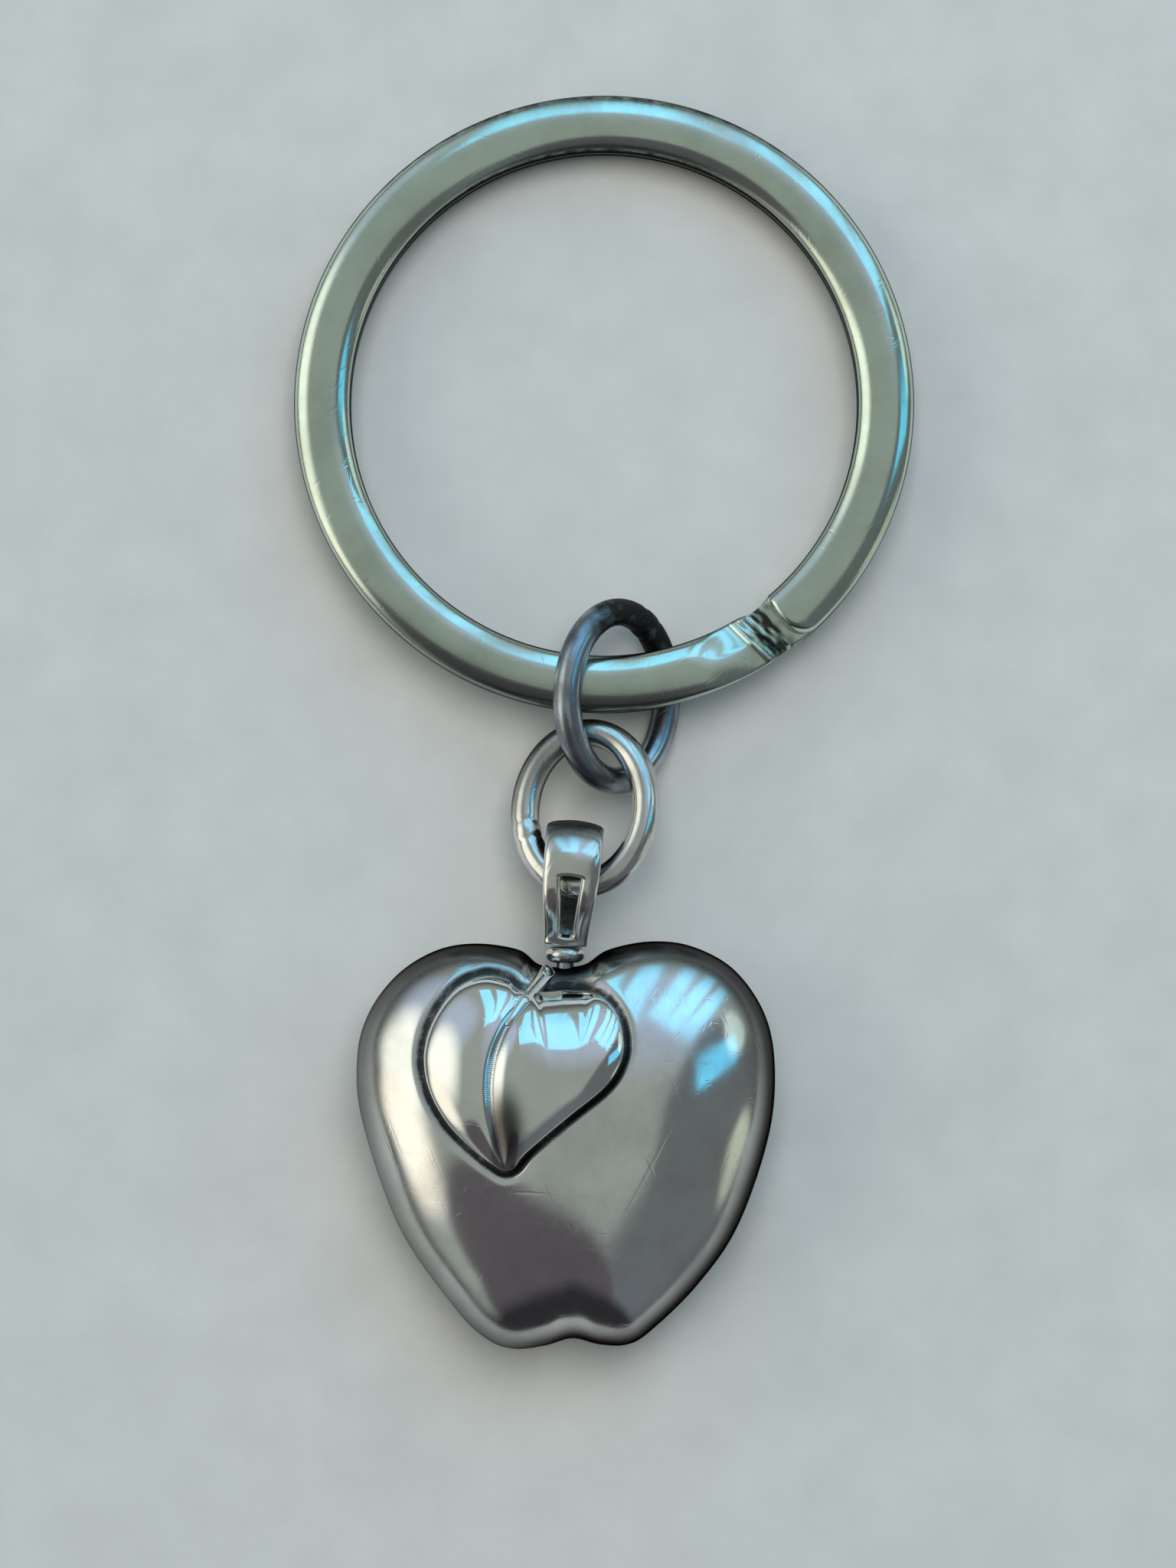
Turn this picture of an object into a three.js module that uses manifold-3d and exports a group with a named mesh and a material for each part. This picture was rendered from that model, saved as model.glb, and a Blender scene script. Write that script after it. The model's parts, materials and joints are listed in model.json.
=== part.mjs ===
// A split key ring with two oval jump rings and a puffed apple charm, lying flat on a table.
// Millimetres. +X is to the right, +Y runs from the charm to the split ring, +Z points up.
import * as THREE from "three";
import { mergeVertices } from "three/addons/utils/BufferGeometryUtils.js";
import Module from "manifold-3d";

const wasm = await Module();
wasm.setup();
const { degToRad, lerp, smoothstep } = THREE.MathUtils;

// Split ring: one flat-backed wire wound nearly twice round.
const ringOuterDiameter = 32;
const bandWidth = 2.9;
const coilThickness = 1.2;
const coilGap = 0.1;
const frontEndAngle = 310;
const backEndAngle = 285;
const rampStartAngle = 288;
const rampEndAngle = 302;
const bandCorner = 0.22;

// Jump rings: oval links of round wire, sized by their openings.
const upperOpeningLength = 7.2;
const upperOpeningWidth = 5.35;
const lowerOpeningLength = 6.5;
const lowerOpeningWidth = 4.85;
const linkWire = 1.45;
const linkClearance = 0.24;

// Bail: a tapered strap folded over, on a collar and a headed post.
const bailLength = 6.2;
const bailTopWidth = 2.9;
const bailBaseWidth = 2;
const bailStrap = 0.65;
const bailHoleHeight = 2.8;
const bailHoleLength = 3.1;
const bailBaseGap = 0.12;
const slotLength = 3.1;
const slotTopWidth = 1.35;
const slotBaseWidth = 0.5;
const slotFoot = 0.5;
const collarDiameter = 2;
const collarHeight = 0.8;
const collarSeat = 0.2;
const postDiameter = 0.9;
const postHeadDiameter = 1.8;
const postHeadHeight = 0.4;
const postHeadClearance = 0.5;
const seatGap = 0.08;

// Apple charm: two pressed shells that meet at their rims, with a heart-shaped leaf on the front one.
const appleWidth = 21.6;
const appleHeight = 21.2;
const frontDepth = 4.3;
const backDepth = 4.5;
const backCrown = 0.35;
const shellWall = 0.6;
const rimGap = 0.04;
const leafWidth = 10.2;
const leafHeight = 9.9;
const leafCentre = [-2.1, 3.95];
const leafSeatGap = 0.17;
const leafEdge = 0.4;
const leafPuff = 0.7;
const creaseDepth = 0.5;
const creaseWidth = 0.55;
const stemWidth = 0.8;
const stemThickness = 0.7;

// How the pieces lie. Aside is measured across the key ring, from the middle of the split ring. Hang is
// the share of the upper jump ring's free play that is on the band's inner side. Seats are heights.
const upperLinkAside = 0.68;
const upperLinkHang = 0.606;
const upperLinkLean = -2.2;
const lowerLinkAside = -0.97;
const bandToLowerLink = 0.343;
const lowerLinkTopSeat = 0.168;
const lowerLinkBottomSeat = 0.2;
const lowerLinkRoll = 12.4;
const lowerLinkYaw = -5;
const appleAside = -1.95;
const bailLean = -5;
const bailOffset = -0.05;

// How finely the surfaces are divided.
const bandStep = 7.5;
const rampSteps = 4;
const linkSteps = 30;
const linkSides = 10;
const shellSides = 48;
const shellRows = 6;
const leafSides = 40;
const leafRows = 6;
const bailFrontSteps = 6;
const bailBendSteps = 6;
const turnedSides = 20;
const outlineSamples = 720;

const silver = (color, roughness) => new THREE.MeshStandardMaterial({ color, roughness, metalness: 1 });
const brightSilver = silver(0xb9bdb8, 0.25);
const wornSilver = silver(0x9ba39c, 0.32);
const darkSilver = silver(0x4e5456, 0.38);
const appleSilver = silver(0x8d908c, 0.35);
const leafSilver = silver(0xd0d3d0, 0.18);

/** A closed surface from points and faces, turned so that its faces point outwards. */
function closedSurface(points, faces) {
  const origin = new THREE.Vector3();
  const volume = faces.reduce(
    (sum, [a, b, c]) =>
      sum + origin.copy(points[a]).dot(new THREE.Vector3().crossVectors(points[b], points[c])),
    0,
  );
  const turned = volume < 0 ? faces.map(([a, b, c]) => [a, c, b]) : faces;
  const geometry = new THREE.BufferGeometry().setFromPoints(points);
  geometry.setIndex(turned.flat());
  geometry.computeVertexNormals();
  return geometry;
}

/** Rings of points joined one after another; the last joins the first, or hubs close the two ends. */
function skin(rings, hubs = null) {
  const sides = rings[0].length;
  const points = rings.flat();
  const faces = [];
  const joins = hubs ? rings.length - 1 : rings.length;
  for (let row = 0; row < joins; row++) {
    const next = (row + 1) % rings.length;
    for (let i = 0; i < sides; i++) {
      const j = (i + 1) % sides;
      faces.push([row * sides + i, row * sides + j, next * sides + j]);
      faces.push([row * sides + i, next * sides + j, next * sides + i]);
    }
  }
  if (hubs) {
    const firstHub = points.push(hubs[0], hubs[1]) - 2;
    const lastRow = (rings.length - 1) * sides;
    for (let i = 0; i < sides; i++) {
      const j = (i + 1) % sides;
      faces.push([firstHub, j, i]);
      faces.push([firstHub + 1, lastRow + i, lastRow + j]);
    }
  }
  return closedSurface(points, faces);
}

/** The middle of a ring of points. */
function middleOf(ring) {
  return ring.reduce((sum, point) => sum.add(point), new THREE.Vector3()).divideScalar(ring.length);
}

/** A skin over rings whose two ends are flat. */
function skinWithFlatEnds(rings) {
  return skin(rings, [middleOf(rings[0]), middleOf(rings[rings.length - 1])]);
}

/** A geometry as a solid that can be cut. */
function toSolid(geometry) {
  const bare = geometry.clone();
  bare.deleteAttribute("normal");
  bare.deleteAttribute("uv");
  const merged = mergeVertices(bare, 1e-4);
  const vertProperties = merged.attributes.position.array;
  const triVerts = new Uint32Array(merged.index.array);
  return new wasm.Manifold(new wasm.Mesh({ numProp: 3, vertProperties, triVerts }));
}

/** A geometry with each of the cutters taken away from it. */
function cut(geometry, ...cutters) {
  const left = cutters.reduce((solid, cutter) => solid.subtract(toSolid(cutter)), toSolid(geometry));
  const mesh = left.getMesh();
  const result = new THREE.BufferGeometry();
  result.setAttribute("position", new THREE.BufferAttribute(mesh.vertProperties, 3));
  result.setIndex(new THREE.BufferAttribute(mesh.triVerts, 1));
  result.computeVertexNormals();
  return result;
}

/** A closed lathe ring or pin about the Y axis, from [radius, height] corners that close on themselves. */
function turned(corners) {
  const profile = corners.map(([radius, height]) => new THREE.Vector2(radius, height));
  return new THREE.LatheGeometry(profile, turnedSides);
}

/**
 * Half of the band's section, from its outer edge over its face to its inner edge: a dome with
 * round shoulders where round is 1, and a flat with small corners where round is 0.
 */
function bandFace(round) {
  const half = bandWidth / 2;
  const rise = coilThickness / 2;
  const across = [1, 0.97, 0.86, 0.62, 0.25, -0.25, -0.62, -0.86, -0.97, -1];
  return across.map((share) => {
    const dome = lerp(-0.1, 1, Math.pow(1 - Math.pow(Math.abs(share), 2.6), 0.62));
    const inset = Math.max(0, Math.abs(share) * half - (half - bandCorner));
    const flat = rise - bandCorner + Math.sqrt(Math.max(0, bandCorner ** 2 - inset ** 2));
    return [share * half, lerp(flat, rise * dome, round)];
  });
}

/** The split ring about the Z axis: front coil, ramp and back coil in one wire. */
function splitRing() {
  const radius = (ringOuterDiameter - bandWidth) / 2;
  const rise = (coilThickness + coilGap) / 2;
  const start = frontEndAngle;
  const rampStart = rampStartAngle + 360;
  const rampEnd = rampEndAngle + 360;
  const end = backEndAngle + 720;
  const angles = [start];
  for (let angle = Math.ceil((start + 1) / bandStep) * bandStep; angle < end - 1; angle += bandStep) {
    angles.push(angle);
  }
  for (let step = 0; step <= rampSteps; step++) {
    angles.push(lerp(rampStart, rampEnd, step / rampSteps));
  }
  angles.push(end);
  const stations = [...new Set(angles)].sort((a, b) => a - b);
  const rings = stations.map((angle) => {
    const down = smoothstep(angle, rampStart, rampEnd);
    const face = bandFace(1 - down);
    const back = bandFace(down);
    const section = [...face, ...back.reverse().slice(1, -1).map(([across, up]) => [across, -up])];
    const turn = degToRad(angle);
    const level = lerp(rise, -rise, down);
    return section.map(([across, up]) => {
      const reach = radius + across;
      return new THREE.Vector3(reach * Math.cos(turn), reach * Math.sin(turn), up + level);
    });
  });
  return skinWithFlatEnds(rings);
}

/** An oval link of round wire in the XY plane, longest along Y. */
function jumpRing(openingWidth, openingLength) {
  const halfWidth = (openingWidth + linkWire) / 2;
  const halfLength = (openingLength + linkWire) / 2;
  const rings = [];
  for (let step = 0; step < linkSteps; step++) {
    const turn = (step / linkSteps) * 2 * Math.PI;
    const middle = new THREE.Vector3(halfWidth * Math.cos(turn), halfLength * Math.sin(turn), 0);
    const outward = new THREE.Vector3(halfLength * Math.cos(turn), halfWidth * Math.sin(turn), 0);
    outward.normalize();
    const ring = [];
    for (let side = 0; side < linkSides; side++) {
      const roll = (side / linkSides) * 2 * Math.PI;
      const point = middle.clone().addScaledVector(outward, (linkWire / 2) * Math.cos(roll));
      point.z = (linkWire / 2) * Math.sin(roll);
      ring.push(point);
    }
    rings.push(ring);
  }
  return skin(rings);
}

const bailHoleStart = bailLength - bailHoleLength;

/** The bail's strap: up the front from its foot at Y 0, round its top, and down the back. */
function bailLoop() {
  const bend = (bailHoleHeight + bailStrap) / 2;
  const footHalf = (bailBaseGap + bailStrap) / 2;
  const bendStart = bailLength - bend - bailStrap / 2;
  const spine = [];
  for (let step = 0; step <= bailFrontSteps; step++) {
    const along = (bendStart * step) / bailFrontSteps;
    spine.push([along, lerp(footHalf, bend, smoothstep(along, 0, bailHoleStart))]);
  }
  for (let step = 1; step < bailBendSteps; step++) {
    const turn = (step / bailBendSteps) * (Math.PI / 2);
    spine.push([bendStart + bend * Math.sin(turn), bend * Math.cos(turn)]);
  }
  const back = spine.map(([along, out]) => [along, -out]).reverse();
  const whole = [...spine, [bendStart + bend, 0], ...back];
  const rings = whole.map(([along, out], i) => {
    const before = whole[Math.max(0, i - 1)];
    const after = whole[Math.min(whole.length - 1, i + 1)];
    const ends = i === 0 || i === whole.length - 1;
    const run = new THREE.Vector2(after[0] - before[0], after[1] - before[1]).normalize();
    const normal = ends ? new THREE.Vector2(0, Math.sign(out)) : new THREE.Vector2(-run.y, run.x);
    const half = lerp(bailBaseWidth, bailTopWidth, smoothstep(along, 0, bendStart)) / 2;
    const section = [
      [half, 0.3], [half, -0.3], [half * 0.86, -0.5], [-half * 0.86, -0.5],
      [-half, -0.3], [-half, 0.3], [-half * 0.86, 0.5], [half * 0.86, 0.5],
    ];
    return section.map(
      ([across, up]) =>
        new THREE.Vector3(across, along + normal.x * up * bailStrap, out + normal.y * up * bailStrap),
    );
  });
  const slot = new THREE.Shape([
    new THREE.Vector2(-slotBaseWidth / 2, slotFoot),
    new THREE.Vector2(slotBaseWidth / 2, slotFoot),
    new THREE.Vector2(slotTopWidth / 2, slotFoot + slotLength * 0.93),
    new THREE.Vector2(slotTopWidth / 3, slotFoot + slotLength),
    new THREE.Vector2(-slotTopWidth / 3, slotFoot + slotLength),
    new THREE.Vector2(-slotTopWidth / 2, slotFoot + slotLength * 0.93),
  ]);
  const slotCutter = new THREE.ExtrudeGeometry(slot, { depth: bailHoleHeight, bevelEnabled: false });
  return cut(skinWithFlatEnds(rings), slotCutter);
}

/** The collar under the bail, a round bead with a hole for the post; its top is at Y 0. */
function bailCollar() {
  const outer = collarDiameter / 2;
  const inner = postDiameter / 2 + seatGap;
  const half = collarHeight / 2;
  return turned([
    [inner, -half], [outer - half * 0.7, -half], [outer - half * 0.15, -half * 0.6], [outer, 0],
    [outer - half * 0.15, half * 0.6], [outer - half * 0.7, half], [inner, half], [inner, -half],
  ]).translate(0, -half, 0);
}

/** The post that holds the bail: through the collar and the rims, with its head inside the apple. */
function bailPost(length) {
  const shank = postDiameter / 2;
  const head = postHeadDiameter / 2;
  return turned([
    [0, -length], [head, -length], [head, -length + postHeadHeight], [shank, -length + postHeadHeight],
    [shank, 0], [0, 0],
  ]);
}

// The apple's outline from its top dimple round by the left, in shares of half its width and height.
const appleOutline = new THREE.CatmullRomCurve3(
  [
    [-0.02, 0.855], [-0.13, 0.87], [-0.23, 0.94], [-0.45, 0.975], [-0.76, 0.845], [-0.97, 0.52],
    [-0.97, 0.11], [-0.8, -0.4], [-0.52, -0.8], [-0.26, -0.98], [0.02, -0.935], [0.27, -0.965],
    [0.48, -0.84], [0.77, -0.48], [0.97, 0.05], [0.98, 0.5], [0.77, 0.87], [0.4, 0.985],
    [0.2, 0.94], [0.09, 0.87],
  ].map(([x, y]) => new THREE.Vector3((x * appleWidth) / 2, (y * appleHeight) / 2, 0)),
  true,
);

// The heart-shaped leaf's outline from its notch round by the left, in shares of its width and height.
const leafOutline = new THREE.CatmullRomCurve3(
  [
    [-0.02, 0.42], [-0.2, 0.495], [-0.4, 0.37], [-0.5, 0.07], [-0.4, -0.23], [-0.24, -0.4],
    [-0.085, -0.5], [0.03, -0.4], [0.22, -0.23], [0.43, -0.07], [0.5, 0.16], [0.42, 0.37],
    [0.25, 0.44], [0.09, 0.415],
  ].map(([x, y]) => new THREE.Vector3(x * leafWidth, y * leafHeight, 0)),
  true,
);

/** How far an outline lies from its own middle in any direction, as a function of the angle. */
function reachOf(outline) {
  const samples = outline
    .getPoints(outlineSamples)
    .map(({ x, y }) => [Math.atan2(y, x), Math.hypot(x, y)]);
  samples.sort((a, b) => a[0] - b[0]);
  const first = samples[0];
  const last = samples[samples.length - 1];
  samples.push([first[0] + 2 * Math.PI, first[1]]);
  samples.unshift([last[0] - 2 * Math.PI, last[1]]);
  return (angle) => {
    const wrapped = Math.atan2(Math.sin(angle), Math.cos(angle));
    const after = samples.findIndex(([at]) => at >= wrapped);
    const [angleA, reachA] = samples[Math.max(0, after - 1)];
    const [angleB, reachB] = samples[after];
    const share = angleB > angleA ? (wrapped - angleA) / (angleB - angleA) : 0;
    return lerp(reachA, reachB, share);
  };
}
const appleReach = reachOf(appleOutline);
const leafReach = reachOf(leafOutline);

/** A shell's rise over its rim, from 1 in the middle to 0 at the rim, at a share of the way out. */
function puff(share) {
  return Math.pow(Math.max(0, 1 - Math.pow(share, 2.4)), 0.6);
}

/** Height of the front shell's outer face above the rims at a point of the apple's own plane. */
function frontHeight(x, y) {
  return frontDepth * puff(Math.min(1, Math.hypot(x, y) / appleReach(Math.atan2(y, x))));
}

/** One shell on one side, 1 for front or -1 for back, of the rims: outer face, rim and inner face. */
function appleShell(side, depth, crown) {
  const rowsAt = (inset, tall) => {
    const rows = [];
    for (let row = 1; row <= shellRows; row++) {
      const share = Math.sin((row / shellRows) * (Math.PI / 2));
      const ring = [];
      for (let i = 0; i < shellSides; i++) {
        const turn = (i / shellSides) * 2 * Math.PI;
        const reach = (appleReach(turn) - inset) * share;
        const height = rimGap / 2 + Math.min(tall - crown, tall * puff(share));
        ring.push(new THREE.Vector3(reach * Math.cos(turn), reach * Math.sin(turn), side * height));
      }
      rows.push(ring);
    }
    return rows;
  };
  const outer = rowsAt(0, depth + crown);
  const inner = rowsAt(shellWall, depth + crown - shellWall).reverse();
  const hubs = [depth, depth - shellWall].map(
    (height) => new THREE.Vector3(0, 0, side * (height + rimGap / 2)),
  );
  return skin([...outer, ...inner], hubs);
}

// The leaf's midrib from its notch to its tip, in the apple's plane.
const midrib = new THREE.CatmullRomCurve3(
  [[-1.7, 8.4], [-2.6, 7], [-3.5, 5.2], [-3.84, 3], [-3.6, 0.8], [-3.1, -1]].map(
    ([x, y]) => new THREE.Vector3(x, y, 0),
  ),
);
const midribPoints = midrib.getPoints(40);

/** The heart-shaped leaf: a puffed plate with a crease along its midrib, seated on the front shell. */
function heartLeaf() {
  const [middleX, middleY] = leafCentre;
  const pointAt = (turn, share, raised) => {
    const x = middleX + leafReach(turn) * share * Math.cos(turn);
    const y = middleY + leafReach(turn) * share * Math.sin(turn);
    const seat = frontHeight(x, y) + leafSeatGap;
    const away = Math.min(...midribPoints.map((point) => Math.hypot(point.x - x, point.y - y)));
    const crease = creaseDepth * Math.exp(-((away / creaseWidth) ** 2));
    const top = leafEdge + leafPuff * Math.sqrt(Math.max(0, 1 - share ** 2)) - crease * (1 - share ** 4);
    return new THREE.Vector3(x, y, seat + (raised ? top : 0));
  };
  const ringAt = (share, raised) => {
    const turns = Array.from({ length: leafSides }, (_, side) => (side / leafSides) * 2 * Math.PI);
    return turns.map((turn) => pointAt(turn, share, raised));
  };
  const under = [0.35, 0.7, 1].map((share) => ringAt(share, false));
  const over = [];
  for (let row = leafRows; row >= 1; row--) {
    over.push(ringAt(Math.sin((row / leafRows) * (Math.PI / 2)), true));
  }
  return skin([...under, ...over], [pointAt(0, 0, false), pointAt(0, 0, true)]);
}

/** The leaf's stem: a low rounded bar from the leaf's notch to the dimple at the apple's top. */
function leafStem() {
  const route = new THREE.CatmullRomCurve3(
    [[-1.92, 8.63], [-1.5, 8.79], [-1, 8.93]].map(([x, y]) => new THREE.Vector3(x, y, 0)),
  );
  const rings = route.getPoints(6).map((point, i) => {
    const run = route.getTangent(i / 6);
    const aside = new THREE.Vector3(-run.y, run.x, 0);
    const sides = [[1, 0.1], [1, 0.5], [0.6, 0.9], [0, 1], [-0.6, 0.9], [-1, 0.5], [-1, 0.1], [0, 0]];
    const spots = sides.map(([across]) => point.clone().addScaledVector(aside, (across * stemWidth) / 2));
    const seat = Math.max(...spots.map((spot) => frontHeight(spot.x, spot.y))) + leafSeatGap;
    return spots.map((spot, side) => spot.setZ(seat + sides[side][1] * stemThickness));
  });
  return skinWithFlatEnds(rings);
}

/** A named mesh. */
function piece(name, geometry, material) {
  const mesh = new THREE.Mesh(geometry, material);
  mesh.name = name;
  return mesh;
}

// The charm: shells, leaf, stem, collar, post and bail, with the rims' plane at Z 0.
const charm = new THREE.Group();
const dimple = appleReach(Math.PI / 2 + 0.003);
const collarTop = dimple + collarSeat + collarHeight;
const postLength = collarTop - dimple + shellWall + postHeadClearance + postHeadHeight;
const holeRadius = postDiameter / 2 + seatGap;
const holeLength = 2 * (postLength - collarHeight);
const postHole = new THREE.CylinderGeometry(holeRadius, holeRadius, holeLength, turnedSides);
postHole.translate(bailOffset, dimple, 0);
const frontShell = piece("apple_front_shell", cut(appleShell(1, frontDepth, 0), postHole), appleSilver);
const backShell = piece("apple_back_shell", cut(appleShell(-1, backDepth, backCrown), postHole), appleSilver);
const collar = piece("bail_collar", bailCollar(), wornSilver);
const post = piece("bail_post", bailPost(postLength), wornSilver);
const loop = piece("bail_loop", bailLoop(), wornSilver);
loop.position.y = seatGap;
loop.rotation.z = degToRad(bailLean);
const bailFrame = new THREE.Group();
bailFrame.position.set(bailOffset, collarTop, 0);
bailFrame.add(loop, collar, post);
const leaf = piece("heart_leaf", heartLeaf(), leafSilver);
const stem = piece("leaf_stem", leafStem(), leafSilver);
leaf.position.z = rimGap / 2;
stem.position.z = rimGap / 2;
charm.add(frontShell, backShell, leaf, stem, bailFrame);
const rimHeight = backDepth + rimGap / 2;

// The upper jump ring leans so that one side lies on the table under the band and the other over it.
// The band and the lower jump ring's wire run through its opening, and the rest of that is free play.
const ringHeight = 2 * coilThickness + coilGap;
const ringRadius = ringOuterDiameter / 2;
const upperLinkHalf = (upperOpeningWidth + linkWire) / 2;
const upperLinkReach = (upperOpeningLength + linkWire) / 2;
const leanRise = ringHeight / 2 + linkWire / 2 + linkClearance;
const upperLinkTilt = Math.asin(leanRise / upperLinkHalf);
const upperLinkHeight = leanRise + linkWire / 2;
const freePlay = upperOpeningLength - bandWidth - bandToLowerLink - linkWire;
const openingTop = bandWidth - ringRadius + upperLinkHang * freePlay;
const upperLinkY = openingTop + linkWire / 2 - upperLinkReach;
const upperLink = piece("upper_jump_ring", jumpRing(upperOpeningWidth, upperOpeningLength), darkSilver);
upperLink.position.set(upperLinkAside, upperLinkY, upperLinkHeight);
upperLink.rotation.set(0, upperLinkTilt, degToRad(upperLinkLean), "ZYX");

// The split ring's near side lies on that jump ring and its far side on the table.
const bandRadius = ringRadius - bandWidth / 2;
const ringTilt = Math.asin((upperLinkHeight - ringHeight / 2) / (bandRadius + ringRadius));
const ring = piece("split_ring", splitRing(), brightSilver);
ring.position.set(0, 0, ringHeight / 2 + ringRadius * Math.sin(ringTilt));
ring.rotation.x = -ringTilt;

// The lower jump ring slopes from the bail, at the height of the rims, down to the upper jump ring.
const lowerLinkReach = (lowerOpeningLength + linkWire) / 2;
const bottomHeight = rimHeight + lowerLinkBottomSeat;
const topHeight = upperLinkHeight + lowerLinkTopSeat;
const lowerLinkPitch = Math.asin((bottomHeight - topHeight) / (2 * lowerLinkReach));
const lowerLinkRun = lowerLinkReach * Math.cos(lowerLinkPitch);
const lowerLinkY = -ringRadius - bandToLowerLink - linkWire / 2 - lowerLinkRun;
const lowerLink = piece("lower_jump_ring", jumpRing(lowerOpeningWidth, lowerOpeningLength), wornSilver);
lowerLink.position.set(lowerLinkAside, lowerLinkY, (bottomHeight + topHeight) / 2);
lowerLink.rotation.set(-lowerLinkPitch, degToRad(-lowerLinkRoll), degToRad(lowerLinkYaw), "ZXY");

// The charm hangs so that the lower jump ring's wire runs where the bail's hole has its full height.
const bailToWire = collarTop + seatGap + bailHoleStart;
charm.position.set(appleAside, lowerLinkY - lowerLinkRun - bailToWire, rimHeight);

// Origin on the table, under the middle of the whole.
const keyRing = new THREE.Group();
keyRing.add(ring, upperLink, lowerLink, charm);
keyRing.updateMatrixWorld(true);
const extent = new THREE.Box3().setFromObject(keyRing, true);
const middle = extent.getCenter(new THREE.Vector3());
keyRing.position.set(-middle.x, -middle.y, -extent.min.z);

export default keyRing;
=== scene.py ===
# %% [markdown]
# # A silver split key ring with an apple charm
#
# The key ring lies flat on a pale table and is seen from straight above. Its measured frame comes first: the bodies,
# the hinges and a plain solid for each piece. Every visible piece is then made again as a fine surface in the same
# place, because polished silver shows each facet of a coarse one.

# %% Load the frame
import json

import bpy
import numpy as np
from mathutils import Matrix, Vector


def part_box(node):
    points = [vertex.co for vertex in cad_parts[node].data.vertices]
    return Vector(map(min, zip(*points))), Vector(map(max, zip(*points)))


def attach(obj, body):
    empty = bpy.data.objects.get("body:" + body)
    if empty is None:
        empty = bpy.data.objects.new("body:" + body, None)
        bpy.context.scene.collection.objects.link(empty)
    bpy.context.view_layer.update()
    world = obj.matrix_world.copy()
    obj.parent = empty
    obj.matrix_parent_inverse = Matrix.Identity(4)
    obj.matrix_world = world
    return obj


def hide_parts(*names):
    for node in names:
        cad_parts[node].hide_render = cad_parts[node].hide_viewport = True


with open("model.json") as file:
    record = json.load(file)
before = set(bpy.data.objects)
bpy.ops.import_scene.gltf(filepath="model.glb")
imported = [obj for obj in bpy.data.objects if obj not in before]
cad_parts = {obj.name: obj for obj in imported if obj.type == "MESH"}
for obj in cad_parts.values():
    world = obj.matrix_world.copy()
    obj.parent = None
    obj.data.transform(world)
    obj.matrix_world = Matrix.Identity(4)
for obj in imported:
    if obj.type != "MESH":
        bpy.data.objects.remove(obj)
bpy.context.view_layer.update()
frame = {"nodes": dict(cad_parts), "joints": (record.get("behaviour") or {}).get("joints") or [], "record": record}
MM = 0.001
print("nodes:", sorted(frame["nodes"]))

# %% [markdown]
# ## The camera
#
# The view is straight down, with the key ring's length up and down. A long lens from a good distance
# keeps the round ring round, as a hand-held camera over a table does.

# %% Camera
RING_JOINT = next(j for j in frame["joints"] if j["name"] == "ring_travel")
RING_CENTRE = np.array(RING_JOINT["pos_m"])
VIEW_OFFSET = np.array([-0.83, -19.65]) * MM
VIEW_HEIGHT = 0.2275
LENS_MM = 100.0
SENSOR_MM = 36.0

camera_data = bpy.data.cameras.new("overhead_camera")
camera_data.lens = LENS_MM
camera_data.sensor_width = SENSOR_MM
camera_data.clip_start = 0.01
camera = bpy.data.objects.new("overhead_camera", camera_data)
camera.location = (RING_CENTRE[0] + VIEW_OFFSET[0], RING_CENTRE[1] + VIEW_OFFSET[1], VIEW_HEIGHT)
bpy.context.collection.objects.link(camera)
bpy.context.scene.camera = camera
print("camera height (mm):", round(VIEW_HEIGHT / MM, 1))

# %% [markdown]
# ## Surfaces from rings of points
#
# Wire, strap, shell and leaf are all a section carried along a route. Each becomes an array of shape
# (rings, points in a ring, 3), and one helper joins neighbouring rings with four-sided faces.


# %% Surface helpers
def finish_mesh(name, points, quads, triangles=()):
    """A smooth-shaded object from points in metres; its faces are turned outwards by the sign of the volume."""
    corners = np.concatenate([np.asarray(quads)[:, [0, 1, 2]], np.asarray(quads)[:, [0, 2, 3]]])
    if len(triangles):
        corners = np.concatenate([corners, np.asarray(triangles)])
    a, b, c = (points[corners[:, k]] for k in range(3))
    if np.einsum("ij,ij->i", a, np.cross(b, c)).sum() < 0:
        quads = np.asarray(quads)[:, ::-1]
        triangles = np.asarray(triangles)[:, ::-1] if len(triangles) else triangles
    mesh = bpy.data.meshes.new(name)
    mesh.from_pydata(points.tolist(), [], np.asarray(quads).tolist() + np.asarray(triangles).tolist())
    mesh.polygons.foreach_set("use_smooth", np.ones(len(mesh.polygons), dtype=bool))
    mesh.update()
    made = bpy.data.objects.new(name, mesh)
    bpy.context.collection.objects.link(made)
    print(f"{name}: {len(points)} points, {len(mesh.polygons)} faces")
    return made


def skin(name, rings, hubs=None):
    """
    Joins ring k to ring k + 1 point by point. Without hubs the last ring joins the first, as in a closed link;
    with two hubs each end closes on its hub, as a fan.
    """
    rows, sides, _ = rings.shape
    joins = rows - 1 if hubs is not None else rows
    row = np.arange(joins)[:, None]
    side = np.arange(sides)[None, :]
    here, there = row * sides, ((row + 1) % rows) * sides
    beside = (side + 1) % sides
    quads = np.stack([here + side, here + beside, there + beside, there + side], -1).reshape(-1, 4)
    points = rings.reshape(-1, 3)
    if hubs is None:
        return finish_mesh(name, points, quads)
    first_hub, last_hub = len(points), len(points) + 1
    last = (rows - 1) * sides
    i = np.arange(sides)
    j = (i + 1) % sides
    start_fan = np.stack([np.full(sides, first_hub), j, i], -1)
    end_fan = np.stack([np.full(sides, last_hub), last + i, last + j], -1)
    points = np.concatenate([points, np.asarray(hubs, dtype=float)])
    return finish_mesh(name, points, quads, np.concatenate([start_fan, end_fan]))


def smoothstep(value, low, high):
    """Rises from 0 at low to 1 at high with level ends: 3t squared minus 2t cubed."""
    t = np.clip((value - low) / (high - low), 0, 1)
    return t * t * (3 - 2 * t)


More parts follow.
